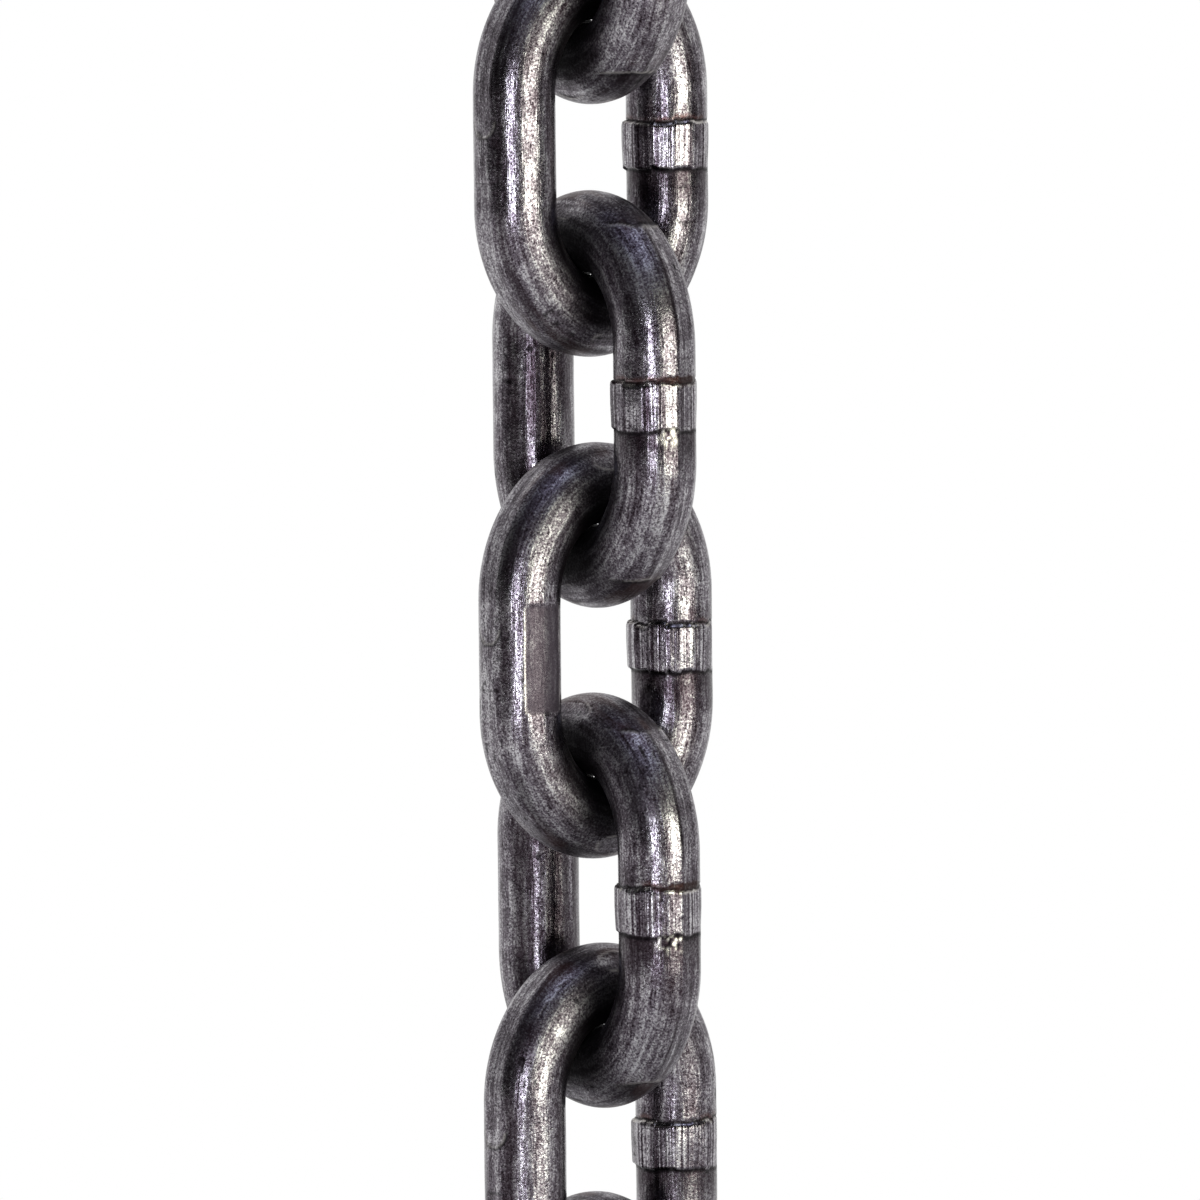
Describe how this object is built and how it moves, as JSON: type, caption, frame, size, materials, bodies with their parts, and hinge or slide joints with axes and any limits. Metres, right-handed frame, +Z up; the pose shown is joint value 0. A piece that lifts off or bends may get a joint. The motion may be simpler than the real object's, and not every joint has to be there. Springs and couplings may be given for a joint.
{
  "type": "short link sling chain",
  "caption": "Hanging run of welded short link lifting chain: round bar links at right angles, with trimmed weld bands and pressed flats, and a free eye at the top and bottom.",
  "frame": {"origin": "seat inside the top eye, where the pin that holds the run up bears", "axes": "+Z up along the run; the top link and every second one after it lie in the XZ plane with the weld on +X, and the others in the YZ plane with the weld on -Y"},
  "size_m": [0.0435, 0.0435, 0.3836],
  "materials": {
    "tempered_steel": "quenched and tempered alloy steel bar, dark furnace scale under a film of oil"
  },
  "bodies": {
    "link_1": {"link_1": "tempered_steel"},
    "link_2": {"link_2": "tempered_steel"},
    "link_3": {"link_3": "tempered_steel"},
    "link_4": {"link_4": "tempered_steel"},
    "link_5": {"link_5": "tempered_steel"},
    "link_6": {"link_6": "tempered_steel"},
    "link_7": {"link_7": "tempered_steel"},
    "link_8": {"link_8": "tempered_steel"},
    "link_9": {"link_9": "tempered_steel"}
  },
  "joints": [
    {"name": "link_2_swing", "type": "hinge", "parent": "link_1", "child": "link_2", "pos_m": [0, 0, -0.0465], "axis": [1, 0, 0], "range_deg": [-110, 110]},
    {"name": "link_3_swing", "type": "hinge", "parent": "link_2", "child": "link_3", "pos_m": [0, 0, -0.0862], "axis": [0, 1, 0], "range_deg": [-110, 110]},
    {"name": "link_4_swing", "type": "hinge", "parent": "link_3", "child": "link_4", "pos_m": [0, 0, -0.1259], "axis": [-1, 0, 0], "range_deg": [-110, 110]},
    {"name": "link_5_swing", "type": "hinge", "parent": "link_4", "child": "link_5", "pos_m": [0, 0, -0.1656], "axis": [0, -1, 0], "range_deg": [-110, 110]},
    {"name": "link_6_swing", "type": "hinge", "parent": "link_5", "child": "link_6", "pos_m": [0, 0, -0.2053], "axis": [1, 0, 0], "range_deg": [-110, 110]},
    {"name": "link_7_swing", "type": "hinge", "parent": "link_6", "child": "link_7", "pos_m": [0, 0, -0.245], "axis": [0, 1, 0], "range_deg": [-110, 110]},
    {"name": "link_8_swing", "type": "hinge", "parent": "link_7", "child": "link_8", "pos_m": [0, 0, -0.2847], "axis": [-1, 0, 0], "range_deg": [-110, 110]},
    {"name": "link_9_swing", "type": "hinge", "parent": "link_8", "child": "link_9", "pos_m": [0, 0, -0.3244], "axis": [0, -1, 0], "range_deg": [-110, 110]}
  ]
}
